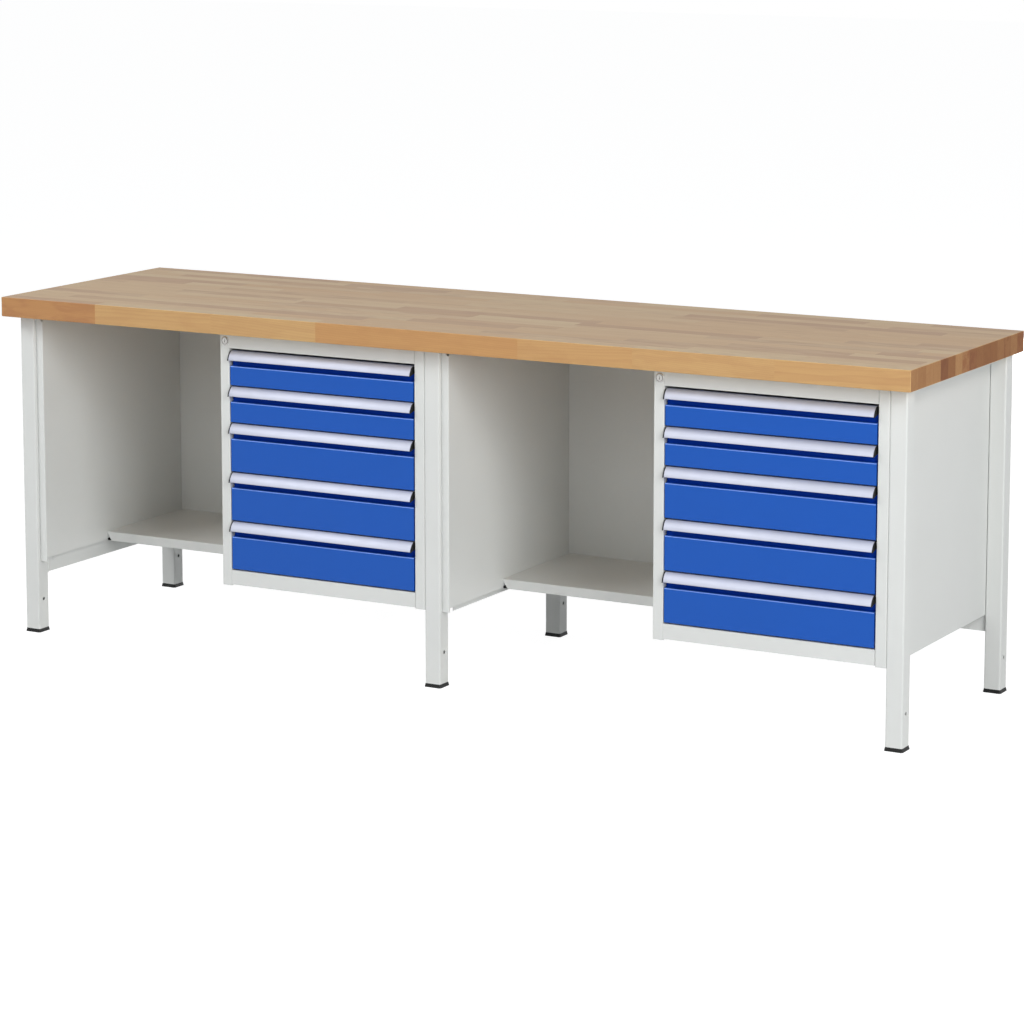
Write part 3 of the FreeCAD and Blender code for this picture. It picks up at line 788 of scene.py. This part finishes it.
# The glue lines between staves and between the blocks of a stave
nearest = work_out(tree, "MINIMUM", distance_to_line(tree, across, beech_in["Stave Width"]),
                   distance_to_line(tree, along, beech_in["Block Length"]))
tree.links.new(work_out(tree, "LESS_THAN", nearest, beech_in["Joint Width"]), beech_out["Joint"])

beech, tree, shader, place = start_material("beech")
wood = add_node(tree, "Group", {"Vector": place}, node_tree=beech_group).outputs
place_axes = add_node(tree, "SeparateXYZ", {0: place}).outputs
colour = blend_colours(tree, wood["Tone"], beech_pale, beech_golden)
colour = blend_colours(tree, remap(tree, wood["Warmth"], red_warmth, (0, red_most)), colour, beech_red)
colour = blend_colours(tree, work_out(tree, "MULTIPLY", wood["Ring"], ring_red), colour, beech_red)
clouded = work_out(tree, "MULTIPLY", remap(tree, wood["Figure"], figure_range, (0, figure_red)),
                   remap(tree, wood["Warmth"], figure_warmth, figure_growth))
colour = blend_colours(tree, clouded, colour, beech_red)
colour = blend_colours(tree, remap(tree, wood["Streak"], streak_range, (0, streak_red)), colour, beech_red)
colour = blend_colours(tree, work_out(tree, "MULTIPLY", wood["Fleck"], fleck_strength), colour, beech_fleck)
colour = blend_colours(tree, work_out(tree, "MULTIPLY", wood["Joint"], joint_strength), colour, beech_fleck)

# The end grain drinks more oil and is dark and dull, and the top face is coloured greyer and paler as a
# painted sheen
off_middle = work_out(tree, "ABSOLUTE", place_axes[0])
end_grain = work_out(tree, "GREATER_THAN", off_middle, board_length / 2 - face_margin)
end_tint = blend_colours(tree, wood["Tone"], end_pale, end_dark)
colour = blend_colours(tree, end_grain, colour, end_tint, "MULTIPLY")
# Painted sheen on the top face
top_face = work_out(tree, "GREATER_THAN", place_axes[2], board_top - face_margin)
colour = blend_colours(tree, top_face, colour, top_painted_sheen_tint, "MULTIPLY")
colour = blend_colours(tree, work_out(tree, "MULTIPLY", top_face, top_painted_sheen_strength), colour, top_painted_sheen)
feed(tree, shader.inputs["Base Color"], colour)
feed(tree, shader.inputs["Roughness"],
     work_out(tree, "MAXIMUM", remap(tree, wood["Streak"], (0, 1), oil_roughness),
              work_out(tree, "MULTIPLY", end_grain, end_roughness)))
emboss(tree, shader, work_out(tree, "SUBTRACT", wood["Streak"], wood["Joint"]), grain_strength, grain_depth)
finish_node("worktop", beech)
finish_node("worktop_screws", zinc_plate)


# The studio is a pale floor and a white background, with soft boxes in front and a low one behind.
# Seen directly or in a reflection, the floor is as white as the background.
floor_size = 60
floor_pale = (0.82, 0.82, 0.82, 1)
floor_seen = (0.3, 0.3, 0.3, 1)
floor_glow = 0.93
white = (1, 1, 1, 1)
room_tone = (0.92, 0.96, 1.0, 1)
room_strength = 0.2


def seen_directly(tree):
    """1 for a ray from the camera, a reflection or a transmission, else 0."""
    ray = tree.nodes.new("ShaderNodeLightPath").outputs
    return work_out(tree, "MAXIMUM", ray["Is Camera Ray"],
                    work_out(tree, "MAXIMUM", ray["Is Glossy Ray"], ray["Is Transmission Ray"]))


bpy.ops.object.select_all(action="DESELECT")
bpy.ops.mesh.primitive_plane_add(size=floor_size, location=(0, 0, 0))
floor = bpy.context.object
floor.name = "floor"
floor_material = bpy.data.materials.new("floor")
floor_material.use_nodes = True
tree = floor_material.node_tree
tree.nodes.remove(tree.nodes["Principled BSDF"])
plain = add_node(tree, "BsdfDiffuse", {"Color": floor_pale}).outputs[0]
glow = add_node(tree, "Emission", {"Color": white, "Strength": floor_glow}).outputs[0]
faint = add_node(tree, "BsdfDiffuse", {"Color": floor_seen}).outputs[0]
shown = add_node(tree, "AddShader", {0: glow, 1: faint}).outputs[0]
floor_shader = add_node(tree, "MixShader", {0: seen_directly(tree), 1: plain, 2: shown}).outputs[0]
feed(tree, tree.nodes["Material Output"].inputs["Surface"], floor_shader)
floor.data.materials.append(floor_material)

world = bpy.data.worlds.new("studio")
bpy.context.scene.world = world
world.use_nodes = True
tree = world.node_tree
backdrop = tree.nodes["Background"]
backdrop.inputs["Color"].default_value = white
backdrop.inputs["Strength"].default_value = 1.0
room = add_node(tree, "Background", {"Color": room_tone, "Strength": room_strength}).outputs[0]
sky = add_node(tree, "MixShader", {0: seen_directly(tree), 1: room, 2: backdrop.outputs[0]}).outputs[0]
feed(tree, tree.nodes["World Output"].inputs["Surface"], sky)


def soft_light(name, place, target, width, height, power):
    """A rectangular soft box that faces a point."""
    lamp = bpy.data.lights.new(name, "AREA")
    lamp.shape = "RECTANGLE"
    lamp.size = width
    lamp.size_y = height
    lamp.energy = power
    holder = bpy.data.objects.new(name, lamp)
    holder.location = place
    holder.rotation_euler = (Vector(target) - Vector(place)).to_track_quat("-Z", "Y").to_euler()
    bpy.context.collection.objects.link(holder)


bench_middle = (0.2, 0, 0.5)
soft_light("key", place=(6.0, -4.2, 2.2), target=bench_middle, width=4.0, height=2.0, power=157)
soft_light("high right", place=(5.6, -3.9, 4.2), target=bench_middle, width=3.0, height=2.0, power=180)
soft_light("high left", place=(-3.6, -3.9, 4.6), target=(-0.4, 0, 0.5), width=2.6, height=2.2, power=152)
soft_light("front", place=(0.2, -6.4, 3.4), target=bench_middle, width=4.0, height=2.0, power=48)
soft_light("rear", place=(-0.5, 6.0, 0.45), target=(-0.2, 0, 0.45), width=3.0, height=0.8, power=120)


# The camera has a long lens, and stands in front and to the right, a little above the board.
# It is pitched down by 8.2 degrees and its lens is shifted down for the rest of the way.
camera_place = (4.035, -7.148, 2.019)
camera_pitch = 8.2
camera_turn = 29.136
camera_lens = 118.06
camera_sensor = 36
camera_shift = -0.177
view = bpy.data.cameras.new("camera")
view.lens = camera_lens
view.sensor_width = camera_sensor
view.shift_y = camera_shift
camera = bpy.data.objects.new("camera", view)
camera.location = camera_place
camera.rotation_euler = (math.radians(90 - camera_pitch), 0, math.radians(camera_turn))
bpy.context.collection.objects.link(camera)
bpy.context.scene.camera = camera
bpy.context.scene.view_settings.view_transform = "Standard"
